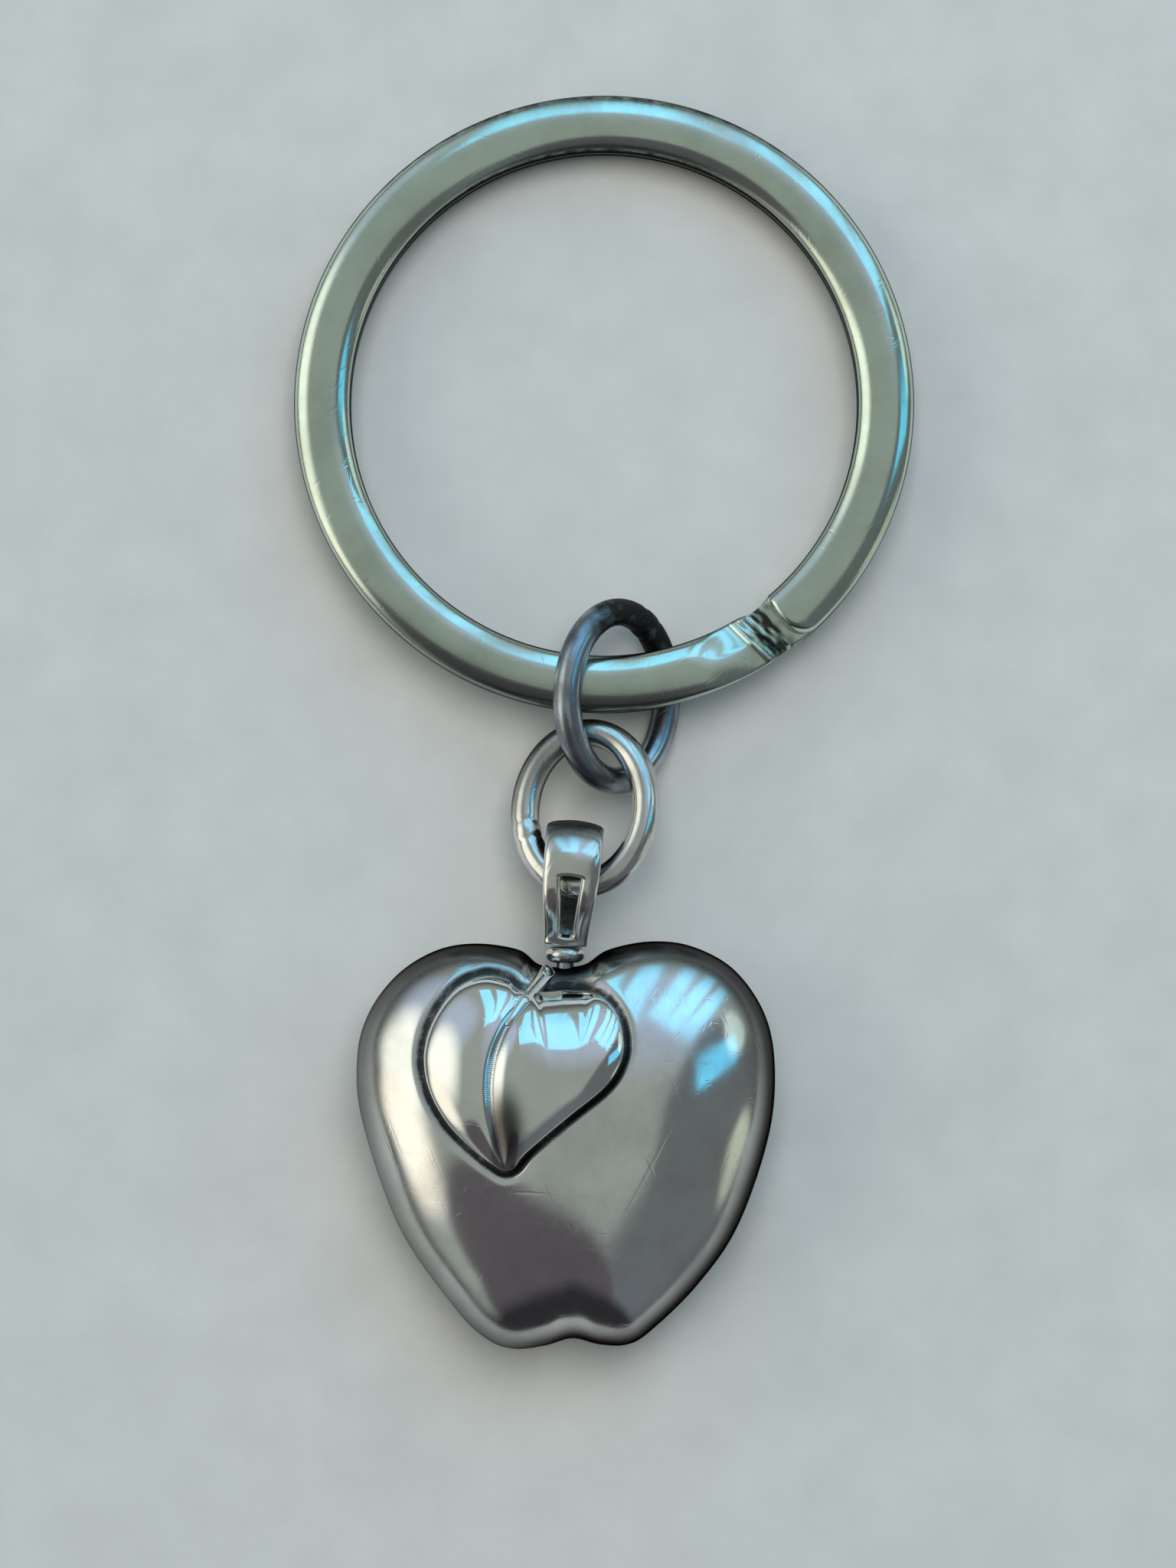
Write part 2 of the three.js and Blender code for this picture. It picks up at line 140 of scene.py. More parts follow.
def unit(vectors):
    """Vectors divided by their own lengths."""
    return vectors / np.linalg.norm(vectors, axis=-1, keepdims=True)


def node_points(node):
    """The points of a frame node's own mesh, in metres, as an array."""
    mesh = frame["nodes"][node].data
    flat = np.empty(len(mesh.vertices) * 3)
    mesh.vertices.foreach_get("co", flat)
    return flat.reshape(-1, 3)


def lie_of(node):
    """
    How a flat, even link lies: the middle of its points, and the three directions in which they spread most,
    second most and least, which are its length, its width and the line across its plane.
    """
    points = np.unique(np.round(node_points(node), 7), axis=0)
    middle = points.mean(axis=0)
    _, directions = np.linalg.eigh(np.cov((points - middle).T))
    across, wide, along = directions.T
    along = along * np.sign(along[1])
    wide = wide * np.sign(wide[0])
    return middle, along, wide, np.cross(wide, along)


# %% [markdown]
# ## The split ring
#
# One wire is wound nearly twice round. It is domed on the outside and flat where the coils meet. Its front end is cut
# blunt; beside it the front coil slopes down and then steps under that end, to go on as the back coil. A sweep by
# angle suits it better than a curve with a bevel, because the section changes over from dome-up to dome-down on the
# way, and the step runs slantwise across the band.

# %% Split ring
RING_OUTER_RADIUS = 16 * MM
BAND_WIDTH = 2.9 * MM
COIL_THICKNESS = 1.2 * MM
COIL_GAP = 0.1 * MM
FRONT_END, BACK_END = 309.2, 285.0
SLOPE_START, SLOPE_END = 288.0, 302.0
STEP_START, STEP_END = 301.8, 306.4
SLOPE_SHARE = 0.34
STEP_SLANT = 1.5
WAIST, WAIST_PLACE, WAIST_LENGTH = 0.09, 306.0, 3.0
RIDGE_HEIGHT, FURROW_DEPTH = 0.09 * MM, 0.12 * MM
BEVEL_DEPTH = 0.5 * MM
BAND_CORNER = 0.2 * MM
OUTER_CORNER, INNER_CORNER, FACE_CORNER = 1.15 * MM, 0.3 * MM, 0.26 * MM
STATIONS_PER_DEGREE = 1.1


def band_half(across, roundness):
    """
    Height of one face of the band at shares of its half width. The round face is a dome that falls to its shoulders
    as (1 - |u| to the power 2.5) to the power 0.58; the flat face is level with a small quarter-circle corner.
    """
    rise = COIL_THICKNESS / 2
    half = BAND_WIDTH / 2
    dome = rise * (-0.12 + 1.12 * (1 - np.abs(across) ** 2.5) ** 0.58)
    inset = np.clip(np.abs(across) * half - (half - BAND_CORNER), 0, BAND_CORNER)
    flat = rise - BAND_CORNER + np.sqrt(BAND_CORNER**2 - inset**2)
    return roundness * dome + (1 - roundness) * flat


def band_section(down, points=27):
    """The closed section as (across, up) pairs: the upper face outwards to inwards, then the lower face back."""
    share = np.cos(np.linspace(0, np.pi, points))[None, :]
    across = np.broadcast_to(share * BAND_WIDTH / 2, (len(down), points))
    upper = np.stack([across, band_half(share, 1 - down[:, None])], -1)
    lower = np.stack([across, -band_half(share, down[:, None])], -1)
    return np.concatenate([upper, lower[:, ::-1][:, 1:-1]], axis=1)


def corner_cut(from_end, radius):
    """How much a rounded corner takes off at a distance from the end: radius less the quarter circle's height."""
    left = np.clip(radius - from_end, 0, radius)
    return radius - np.sqrt(radius**2 - left**2)


def split_ring():
    """
    Sweep by angle: a point lies at mean radius plus across, turned by the angle, and at the coil's level plus up. The
    level falls a third of the way over the slope and the rest over the step, which comes later at the outer edge. The
    slope's inner half is bevelled away, and a ridge and a furrow mark where the step was pressed.
    """
    mean = RING_OUTER_RADIUS - BAND_WIDTH / 2
    start, end = FRONT_END, BACK_END + 720
    near_end = np.degrees(OUTER_CORNER * (1 - np.cos(np.linspace(0, np.pi / 2, 12))) / mean)
    body = np.linspace(start + near_end[-1], end - near_end[-1], int((end - start) * STATIONS_PER_DEGREE))
    fine = np.linspace(STEP_START + 360 - 3, STEP_END + 360 + 3, 90)
    body = body[(body < fine[0]) | (body > fine[-1])]
    angle = np.unique(np.concatenate([start + near_end, body, fine, end - near_end]))
    from_end = np.radians(np.minimum(angle - start, end - angle)) * mean

    down = smoothstep(angle, SLOPE_START + 360, STEP_END + 360)
    section = band_section(down)
    across, up = section[..., 0], section[..., 1]
    half, rise = BAND_WIDTH / 2, COIL_THICKNESS / 2
    pinch = 1 - WAIST * np.exp(-(((angle - 360 - WAIST_PLACE) / WAIST_LENGTH) ** 2))
    outer = half * pinch - corner_cut(from_end, OUTER_CORNER)
    inner = half * pinch - corner_cut(from_end, INNER_CORNER)
    across = np.where(across > 0, across * (outer / half)[:, None], across * (inner / half)[:, None])
    up = up * (1 - corner_cut(from_end, FACE_CORNER) / rise)[:, None]

    along = angle[:, None] - 360 - STEP_SLANT * across / half
    step = np.clip((along - STEP_START) / (STEP_END - STEP_START), 0, 1)
    step = 0.75 * step + 0.25 * smoothstep(step, 0, 1)
    fallen = SLOPE_SHARE * smoothstep(along, SLOPE_START, SLOPE_END) + (1 - SLOPE_SHARE) * step
    ridge = RIDGE_HEIGHT * np.exp(-(((along - STEP_START + 0.5) / 0.55) ** 2))
    furrow = FURROW_DEPTH * np.exp(-(((along - STEP_START - 2.6) / 0.5) ** 2))
    level = (COIL_THICKNESS + COIL_GAP) / 2 * (1 - 2 * fallen) + (ridge - furrow)

    turn = np.radians(angle)[:, None]
    on_top = np.clip(up / rise, 0, 1) * np.clip(-across / half, 0, 1) ** 0.8
    bevel = on_top * smoothstep(along, 290.5, 299) * (1 - smoothstep(along, 301.5, 304))
    level = level - BEVEL_DEPTH * bevel
    rings = np.stack([(mean + across) * np.cos(turn), (mean + across) * np.sin(turn), up + level], -1)
    normal = unit(np.array(RING_JOINT["axis"], dtype=float))
    side = np.array([1.0, 0.0, 0.0])
    placed = RING_CENTRE + rings @ np.stack([side, np.cross(normal, side), normal])
    return skin("split_ring_band", placed, [placed[0].mean(axis=0), placed[-1].mean(axis=0)])


band = split_ring()

# %% [markdown]
# ## The jump rings
#
# Each is a length of round wire bent into an oval and soldered shut. The solder leaves a slight swelling and the pull
# of the chain wears the inside of both ends a little flat. Their places come from the frame's own solids.

# %% Jump rings
LINK_WIRE = 1.45 * MM
UPPER_OPENING = (5.35 * MM, 7.2 * MM)
LOWER_OPENING = (4.85 * MM, 6.5 * MM)
SOLDER_SWELLING, SOLDER_WIDTH = 0.035, 0.075
SOLDER_DENT, DENT_PLACE, DENT_WIDTH = 0.05, 0.13, 0.03
LINK_WEAR = 0.06


def jump_ring(name, node, opening, seam_angle, steps=200, sides=32):
    """
    Sweep of a circle along an oval: the route is (half width times cosine, half length times sine), and the wire's
    radius gains a narrow bell at the seam, with a dent on either side, and loses a little where its two ends wear.
    """
    middle, along, wide, across = lie_of(node)
    half_width, half_length = (opening[0] + LINK_WIRE) / 2, (opening[1] + LINK_WIRE) / 2
    turn = np.linspace(0, 2 * np.pi, steps, endpoint=False)[:, None]
    roll = np.linspace(0, 2 * np.pi, sides, endpoint=False)[None, :]
    outward = unit(np.stack([half_length * np.cos(turn), half_width * np.sin(turn)], -1))
    from_seam = np.angle(np.exp(1j * (turn - np.radians(seam_angle))))
    swelling = SOLDER_SWELLING * np.exp(-((from_seam / SOLDER_WIDTH) ** 2))
    dents = SOLDER_DENT * np.exp(-(((np.abs(from_seam) - DENT_PLACE) / DENT_WIDTH) ** 2))
    wear = LINK_WEAR * np.abs(np.sin(turn)) ** 10 * np.clip(-np.cos(roll), 0, 1) ** 2
    radius = LINK_WIRE / 2 * (1 + (swelling - dents) - wear)
    reach = radius * np.cos(roll)
    x = half_width * np.cos(turn) + reach * outward[..., 0]
    y = half_length * np.sin(turn) + reach * outward[..., 1]
    z = radius * np.sin(roll)
    rings = middle + x[..., None] * wide + y[..., None] * along + z[..., None] * across
    return skin(name, rings)


upper_link = jump_ring("dark_jump_ring", "upper_jump_ring", UPPER_OPENING, 62)
lower_link = jump_ring("bright_jump_ring", "lower_jump_ring", LOWER_OPENING, 200)

# %% [markdown]
# ## The apple's outline
#
# The apple and its leaf are drawn by a few points each, in shares of their half sizes, with a smooth closed curve
# through them. A surface by angle and share of the way out then fills each outline.

# %% Outlines
APPLE_SIZE = np.array([21.6, 21.2]) * MM
LEAF_SIZE = np.array([10.2, 9.9]) * MM
LEAF_CENTRE = np.array([-2.1, 3.95]) * MM
RIM_GAP = 0.04 * MM
FRONT_DEPTH = 4.3 * MM
BACK_DEPTH = 4.5 * MM
BACK_CROWN = 0.35 * MM
SHELL_WALL = 0.6 * MM
APPLE_BACK = np.array(frame["record"]["mounts"][0]["pos_m"])
APPLE_CENTRE = np.array([APPLE_BACK[0], APPLE_BACK[1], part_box("apple_front_shell")[0][2] - RIM_GAP / 2])
print("apple middle (mm):", np.round(APPLE_CENTRE / MM, 2))

APPLE_POINTS = [
    (-0.02, 0.855), (-0.13, 0.87), (-0.225, 0.94), (-0.43, 0.97), (-0.62, 0.935), (-0.8, 0.82), (-0.935, 0.635),
    (-0.99, 0.42), (-0.965, 0.11), (-0.79, -0.4), (-0.53, -0.785), (-0.38, -0.935), (-0.25, -0.985), (-0.1, -0.97),
    (0.03, -0.935), (0.16, -0.965), (0.29, -0.965), (0.4, -0.9), (0.62, -0.68), (0.81, -0.4), (0.955, 0.02),
    (0.99, 0.35), (0.945, 0.62), (0.8, 0.84), (0.6, 0.955), (0.4, 0.98), (0.2, 0.94), (0.09, 0.87),
]
LEAF_POINTS = [
    (-0.02, 0.42), (-0.09, 0.475), (-0.21, 0.49), (-0.35, 0.42), (-0.46, 0.26), (-0.505, 0.08), (-0.475, -0.1),
    (-0.38, -0.27), (-0.24, -0.41), (-0.125, -0.495), (-0.085, -0.505), (-0.045, -0.485), (0.02, -0.405),
    (0.22, -0.23), (0.4, -0.08), (0.48, 0.04), (0.5, 0.16), (0.465, 0.3), (0.37, 0.395), (0.23, 0.42), (0.09, 0.41),
]


def closed_curve(points, per_point=24):
    """A closed Catmull-Rom curve: between two points it is the cubic whose slopes come from their neighbours."""
    p = np.asarray(points, dtype=float)
    before, after, beyond = np.roll(p, 1, 0), np.roll(p, -1, 0), np.roll(p, -2, 0)
    t = np.linspace(0, 1, per_point, endpoint=False)[None, :, None]
    a, b, c, d = (q[:, None, :] for q in (before, p, after, beyond))
    curve = 0.5 * (2 * b + (c - a) * t + (2 * a - 5 * b + 4 * c - d) * t**2 + (3 * b - a - 3 * c + d) * t**3)
    return curve.reshape(-1, 2)


def reach_table(points, size):
    """How far the outline lies from its middle, at 1440 even angles."""
    curve = closed_curve(points) * size
    angle = np.arctan2(curve[:, 1], curve[:, 0])
    order = np.argsort(angle)
    at = np.linspace(-np.pi, np.pi, 1440, endpoint=False)
    return at, np.interp(at, angle[order], np.hypot(*curve.T)[order], period=2 * np.pi)


def reach_at(table, angle):
    """The outline's reach at any angles."""
    return np.interp(angle, table[0], table[1], period=2 * np.pi)


def softened(table, harmonics):
    """The same outline without its sharp dents: only the lowest harmonics of its reach are kept."""
    wave = np.fft.rfft(table[1])
    wave[harmonics + 1:] = 0
    return table[0], np.fft.irfft(wave, len(table[1]))


apple_reach = reach_table(APPLE_POINTS, APPLE_SIZE / 2)
apple_soft_reach = softened(apple_reach, 3)
leaf_reach = reach_table(LEAF_POINTS, LEAF_SIZE)
leaf_outline = closed_curve(LEAF_POINTS) * LEAF_SIZE + LEAF_CENTRE

MIDRIB = np.array([(-0.75, 9.1), (-1.3, 8.35), (-2.2, 7.35), (-2.95, 6.3), (-3.55, 4.9), (-3.78, 3.4), (-3.7, 1.9),
                   (-3.45, 0.5), (-3.1, -0.75)]) * MM


def open_curve(points, per_point=16):
    """A Catmull-Rom curve through points with two ends, whose end points are repeated once."""
    p = np.concatenate([[2 * points[0] - points[1]], points, [2 * points[-1] - points[-2]]])
    a, b, c, d = (p[k:len(p) - 3 + k, None, :] for k in range(4))
    t = np.linspace(0, 1, per_point, endpoint=False)[None, :, None]
    curve = 0.5 * (2 * b + (c - a) * t + (2 * a - 5 * b + 4 * c - d) * t**2 + (3 * b - a - 3 * c + d) * t**3)
    return np.concatenate([curve.reshape(-1, p.shape[1]), points[-1:]])


midrib_line = open_curve(MIDRIB)


def distance_to(line, x, y, block=4096):
    """Shortest distance from each (x, y) to the points of a line, worked out in blocks to save memory."""
    spots = np.stack([x.ravel(), y.ravel()], -1)
    found = [np.sqrt(((spots[k:k + block, None, :] - line[None]) ** 2).sum(-1)).min(1)
             for k in range(0, len(spots), block)]
    return np.concatenate(found).reshape(x.shape)


def puff(share):
    """A pressed shell's rise from rim to middle: (1 - s to the power 2.4) to the power 0.6."""
    return np.clip(1 - np.clip(share, 0, 1) ** 2.4, 0, 1) ** 0.6


def apple_share(x, y):
    """
    The share of the way out to the rim. Near the rim it follows the dented outline; further in it goes over to the
    softened outline, so that the dents at stem and base die out as they do in pressed metal.
    """
    angle, radius = np.arctan2(y, x), np.hypot(x, y)
    sharp = radius / reach_at(apple_reach, angle)
    soft = radius / reach_at(apple_soft_reach, angle)
    blend = smoothstep(sharp, 0.35, 1.0)
    return np.clip(sharp * blend + soft * (1 - blend), 0, 1)


def front_height(x, y):
    """Height of the front shell's outside over the rims, before the groove round the leaf is cut."""
    return FRONT_DEPTH * puff(apple_share(x, y))


# %% [markdown]
# ## The two shells
#
# The body of the apple is two pressed shells that meet at their rims. The front one has a dark groove where the leaf
# is let in. Each is one closed skin: outside from its middle to the rim, over the rim, and back along the inside.

# %% Shells
SHELL_SIDES, SHELL_ROWS = 360, 90
GROOVE_WIDTH, GROOVE_DEPTH = 0.3 * MM, 0.24 * MM
RIM_ROUNDING = 0.12 * MM


def shell(name, side, depth, crown, groove):
    """
    Polar sheet: a point at an angle and a share of the way out, with shares spaced by sine so that rows crowd near
    the steep rim. The height is the puff times the depth, cut level on the back where the apple rests.
    """
    angle = np.linspace(0, 2 * np.pi, SHELL_SIDES, endpoint=False)[None, :]
    share = np.sin(np.linspace(0.02, 1, SHELL_ROWS) * np.pi / 2)[:, None]
    rim = reach_at(apple_reach, angle)

    def sheet(inset, tall, cut):
        radius = (rim - inset) * share
        x, y = radius * np.cos(angle), radius * np.sin(angle)
        flat = apple_share(x * rim / (rim - inset), y * rim / (rim - inset))
        height = np.minimum(tall * puff(flat), tall - crown)
        if cut:
            away = distance_to(leaf_outline, x, y)
            height = height - GROOVE_DEPTH * np.exp(-((away / GROOVE_WIDTH) ** 2)) * (height > 0.4 * MM)
        return np.stack([x, y, RIM_GAP / 2 + RIM_ROUNDING * share**40 + height], -1)

    outside = sheet(0, depth + crown, groove)
    inside = sheet(SHELL_WALL, depth + crown - SHELL_WALL, False)[::-1]
    lip = (outside[-1] * 0.5 + inside[0] * 0.5)[None]
    lip[..., 2] = RIM_GAP / 2
    rings = np.concatenate([outside, lip, inside])
    hubs = np.array([[0, 0, outside[0, :, 2].mean()], [0, 0, inside[-1, :, 2].mean()]])
    flip = np.array([1, 1, side])
    return skin(name, rings * flip + APPLE_CENTRE, hubs * flip + APPLE_CENTRE)


front_shell = shell("apple_front", 1, FRONT_DEPTH, 0, True)
back_shell = shell("apple_back", -1, BACK_DEPTH, BACK_CROWN, False)

# %% [markdown]
# ## The leaf and its stem
#
# The leaf is a polished heart, puffed on both sides of a creased midrib. A sheet by angle spreads its points evenly
# and the crease needs them close, so the sheet is fine all over and the crease is a sharp valley worked out from the
# distance to the midrib.

# %% Leaf
LEAF_SIDES, LEAF_ROWS = 480, 110
LEAF_SEAT = 0.1 * MM
LEAF_SINK = 0.05 * MM
LEAF_EDGE = 0.3 * MM
LEAF_PUFF = 0.78 * MM
CREASE_DEPTH, CREASE_WIDTH = 0.42 * MM, 0.4 * MM
STEM_HALF_WIDTH, STEM_LIFT = 0.42 * MM, 0.3 * MM


def leaf_top(x, y, share):
    """
    Height of the leaf's face over its seat: an edge, plus a puff that rises as the root of (1 - s to the power 3),
    less a valley that deepens towards the midrib as the exponential of minus distance over width.
    """
    away = distance_to(midrib_line, x, y)
    valley = CREASE_DEPTH * np.exp(-away / CREASE_WIDTH) * (1 - 0.55 * share**4)
    edge = LEAF_EDGE * smoothstep(1 - share, -0.001, 0.03)
    return edge + LEAF_PUFF * np.sqrt(1 - share**3) - valley * (1 - share**12)


def heart_leaf():
    """Polar sheet about the leaf's own middle: underside from the middle out, then the face from the edge back in."""
    angle = np.linspace(0, 2 * np.pi, LEAF_SIDES, endpoint=False)[None, :]
    share = np.sin(np.linspace(0.01, 1, LEAF_ROWS) * np.pi / 2)[:, None]
    radius = reach_at(leaf_reach, angle) * share
    x, y = LEAF_CENTRE[0] + radius * np.cos(angle), LEAF_CENTRE[1] + radius * np.sin(angle)
    seat = front_height(x, y) + LEAF_SEAT
    under = np.stack([x, y, seat - LEAF_SINK], -1)
    under = np.concatenate([under[::8], under[-1:]])
    face = np.stack([x, y, seat + leaf_top(x, y, np.broadcast_to(share, x.shape))], -1)[::-1]
    rings = np.concatenate([under, face]) + APPLE_CENTRE
    hubs = np.stack([under[0].mean(axis=0), face[-1].mean(axis=0)]) + APPLE_CENTRE
    return skin("leaf_face", rings, hubs)


def leaf_stem():
    """A half-round bar that follows the first stretch of the midrib from the dimple down between the lobes."""
    route = open_curve(MIDRIB[:4])
    run = unit(np.gradient(route, axis=0))
    aside = np.stack([-run[:, 1], run[:, 0]], -1)
    along = np.linspace(0, 1, len(route))
    rounded_end = np.sqrt(np.clip(1 - (1 - along / 0.04).clip(0) ** 2, 0.02, 1))
    half = STEM_HALF_WIDTH * (1 - 0.62 * along**1.5) * rounded_end
    turn = np.linspace(0, 2 * np.pi, 28, endpoint=False)
    width, rise = np.cos(turn), np.where(np.sin(turn) > 0, np.sin(turn), 0.35 * np.sin(turn))
    spots = route[:, None, :] + aside[:, None, :] * (half[:, None] * width[None, :])[..., None]
    leaf_distance = np.hypot(*(route - LEAF_CENTRE).T)
    leaf_angle = np.arctan2(*(route - LEAF_CENTRE).T[::-1])
    share = np.clip(leaf_distance / reach_at(leaf_reach, leaf_angle), 0, 1)
    base = front_height(*route.T) + STEM_LIFT
    on_leaf = front_height(*route.T) + LEAF_SEAT + leaf_top(*route.T, share)
    level = base + (on_leaf - base) * smoothstep(1 - share, -0.02, 0.12)
    height = level[:, None] + half[:, None] * 0.95 * rise[None, :]
    rings = np.concatenate([spots, height[..., None]], -1) + APPLE_CENTRE
    return skin("stem_bar", rings, [rings[0].mean(axis=0), rings[-1].mean(axis=0)])


leaf = heart_leaf()
stem = leaf_stem()

# %% [markdown]
# ## The bail, its collar and its post
#
# The bail is a tapered strap folded over the lower jump ring, with a tapered slot in its front. The strap is a grid
# with a row of cells left out for the slot; Solidify gives it its thickness and Subdivision Surface rounds its edges,
# which is simpler than cutting a hole in a finished solid. Collar and post are turned shapes.

# %% Bail
BAIL_LENGTH = 6.2 * MM
BAIL_TOP_WIDTH, BAIL_BASE_WIDTH = 2.95 * MM, 2.2 * MM
BAIL_STRAP = 0.62 * MM
BAIL_HOLE_HEIGHT, BAIL_HOLE_START = 2.8 * MM, 3.1 * MM
BAIL_BASE_GAP = 0.12 * MM
BAIL_LEAN = np.radians(-5)
BAIL_CROWN = 0.24 * MM
FRONT_POINTS, BEND_POINTS = 22, 18
SLOT_FOOT, SLOT_LENGTH = 0.45 * MM, 3.15 * MM
SLOT_TOP_WIDTH, SLOT_BASE_WIDTH = 1.05 * MM, 0.5 * MM
COLLAR_RADIUS, COLLAR_HEIGHT = 1.0 * MM, 0.8 * MM
POST_RADIUS, POST_HEAD_RADIUS = 0.45 * MM, 0.9 * MM
collar_low, collar_high = (np.array(corner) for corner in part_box("bail_collar"))
post_low, post_high = (np.array(corner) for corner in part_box("bail_post"))
BAIL_FOOT = np.array([(collar_low[0] + collar_high[0]) / 2, collar_high[1] + 0.08 * MM, APPLE_CENTRE[2]])


def bail_spine():
    """The strap's middle line as (along, out): up the front, round the top as a half circle, and down the back."""
    bend = (BAIL_HOLE_HEIGHT + BAIL_STRAP) / 2
    foot = (BAIL_BASE_GAP + BAIL_STRAP) / 2
    bend_start = BAIL_LENGTH - bend - BAIL_STRAP / 2
    along = np.linspace(0, bend_start, FRONT_POINTS)
    front = np.stack([along, foot + (bend - foot) * smoothstep(along, 0, BAIL_HOLE_START)], -1)
    turn = np.linspace(0, np.pi, BEND_POINTS)[1:-1]
    top = np.stack([bend_start + bend * np.sin(turn), bend * np.cos(turn)], -1)
    return np.concatenate([front, top, front[::-1] * [1, -1]]), bend_start


def bail_loop():
    """
    A grid of the spine's points by places across it. Left places run from the edge to the slot, right places from
    the slot to the edge, and the cells between are dropped along the slot. The face is crowned across its width.
    """
    spine, bend_start = bail_spine()
    run = unit(np.gradient(spine, axis=0))
    normal = np.stack([-run[:, 1], run[:, 0]], -1)
    along, out = spine[:, 0], spine[:, 1]
    front = (out > 0) & (np.arange(len(spine)) < FRONT_POINTS)
    half = (BAIL_BASE_WIDTH + (BAIL_TOP_WIDTH - BAIL_BASE_WIDTH) * smoothstep(along, 0, bend_start)) / 2
    fall = np.clip((along - SLOT_FOOT) / SLOT_LENGTH, 0, 1)
    slot = (SLOT_BASE_WIDTH + (SLOT_TOP_WIDTH - SLOT_BASE_WIDTH) * fall) / 2
    open_rows = front & (along > SLOT_FOOT) & (along < SLOT_FOOT + SLOT_LENGTH)
    inner = np.where(open_rows, slot, 0.12 * MM + 0.1 * half)
    place = np.linspace(0, 1, 3)
    right = inner[:, None] + (half - inner)[:, None] * place[None, :]
    across = np.concatenate([-right[:, ::-1], right], axis=1)
    crown = BAIL_CROWN * (1 - (across / half[:, None]) ** 2)
    y = along[:, None] + normal[:, None, 0] * crown
    z = out[:, None] + normal[:, None, 1] * crown
    x = across * np.cos(BAIL_LEAN) - y * np.sin(BAIL_LEAN)
    y = across * np.sin(BAIL_LEAN) + y * np.cos(BAIL_LEAN)
    points = (np.stack([x, y, z], -1) + BAIL_FOOT).reshape(-1, 3)
    rows, places = across.shape
    row, cell = (g.ravel() for g in np.meshgrid(np.arange(rows - 1), np.arange(places - 1), indexing="ij"))
    keep = ~((cell == places // 2 - 1) & open_rows[row] & open_rows[row + 1])
    row, cell = row[keep], cell[keep]
    first = row * places + cell
    quads = np.stack([first, first + places, first + places + 1, first + 1], -1)
    made = bpy.data.meshes.new("bail_strap")
    made.from_pydata(points.tolist(), [], quads.tolist())
    made.polygons.foreach_set("use_smooth", np.ones(len(made.polygons), dtype=bool))
    made.update()
    strap = bpy.data.objects.new("bail_strap", made)
    bpy.context.collection.objects.link(strap)
    thick = strap.modifiers.new("strap thickness", "SOLIDIFY")
    thick.thickness = BAIL_STRAP
    thick.offset = 0
    round_edges = strap.modifiers.new("rounded edges", "SUBSURF")
    round_edges.levels = round_edges.render_levels = 3
    print("bail_strap:", len(points), "points before its modifiers")
    return strap


def lathe(name, profile, centre, sides=96):
    """A shape turned about a line along Y: each (radius, height) of the profile becomes a ring of points."""
    profile = np.asarray(profile, dtype=float)
    turn = np.linspace(0, 2 * np.pi, sides, endpoint=False)[None, :]
    radius, height = profile[:, :1], profile[:, 1:]
    level = np.broadcast_to(height, (len(profile), sides))
    rings = np.stack([radius * np.cos(turn), level, radius * np.sin(turn)], -1)
    if np.allclose(profile[0], profile[-1]):
        return skin(name, rings[:-1] + centre)
    hubs = np.array([[0, profile[0, 1], 0], [0, profile[-1, 1], 0]])
    return skin(name, rings + centre, hubs + centre)


def rounded(corners, radius, steps=6):
    """A closed or open profile with each inner corner replaced by a short curve that cuts it off by the radius."""
    out = [corners[0]]
    for before, corner, after in zip(corners, corners[1:], corners[2:]):
        before, corner, after = (np.array(p, dtype=float) for p in (before, corner, after))
        start = corner + unit(before - corner) * min(radius, np.linalg.norm(before - corner) / 2)
        end = corner + unit(after - corner) * min(radius, np.linalg.norm(after - corner) / 2)
        t = np.linspace(0, 1, steps)[:, None]
        out.extend((1 - t) ** 2 * start + 2 * t * (1 - t) * corner + t**2 * end)
    return np.array([*out, corners[-1]])


strap = bail_loop()
bead_turn = np.linspace(-np.pi / 2, np.pi / 2, 25)
bead = np.stack([COLLAR_RADIUS - 0.4 * MM * (1 - np.cos(bead_turn)), COLLAR_HEIGHT / 2 * np.sin(bead_turn)], -1)
BORE_RADIUS = POST_RADIUS + 0.08 * MM
bore = [(BORE_RADIUS, COLLAR_HEIGHT / 2), (BORE_RADIUS, -COLLAR_HEIGHT / 2)]
collar = lathe("bail_bead", np.concatenate([bead, bore, bead[:1]]), (collar_low + collar_high) / 2)
PIN_TIP = 0.001 * MM
head_top = post_low[1] + 0.4 * MM
pin_profile = [
    (PIN_TIP, post_low[1]), (POST_HEAD_RADIUS, post_low[1]), (POST_HEAD_RADIUS, head_top),
    (POST_RADIUS, head_top), (POST_RADIUS, post_high[1]), (PIN_TIP, post_high[1]),
]
pin_centre = np.array([(post_low[0] + post_high[0]) / 2, 0, APPLE_CENTRE[2]])
post = lathe("bail_pin", rounded(pin_profile, 0.12 * MM), pin_centre)

# %% [markdown]
# ## Which bodies the pieces ride on
#
# Every piece takes the place of its plain solid and rides on that solid's body, so the hinges of the chain carry it.

# %% Ride on the bodies
PIECES = [
    (band, "split_ring_body", "split_ring", "split_ring_silver"),
    (upper_link, "upper_link", "upper_jump_ring", "dark_link_silver"),
    (lower_link, "lower_link", "lower_jump_ring", "bright_link_silver"),
    (strap, "charm", "bail_loop", "bail_silver"),
    (collar, "charm", "bail_collar", "bail_silver"),
    (post, "charm", "bail_post", "bail_silver"),
    (front_shell, "charm", "apple_front_shell", "apple_silver"),
    (back_shell, "charm", "apple_back_shell", "apple_silver"),
    (leaf, "charm", "heart_leaf", "leaf_silver"),
    (stem, "charm", "leaf_stem", "leaf_silver"),
]
for piece, body, node, finish in PIECES:
    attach(piece, body)
    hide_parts(node)
print("pieces placed:", len(PIECES))
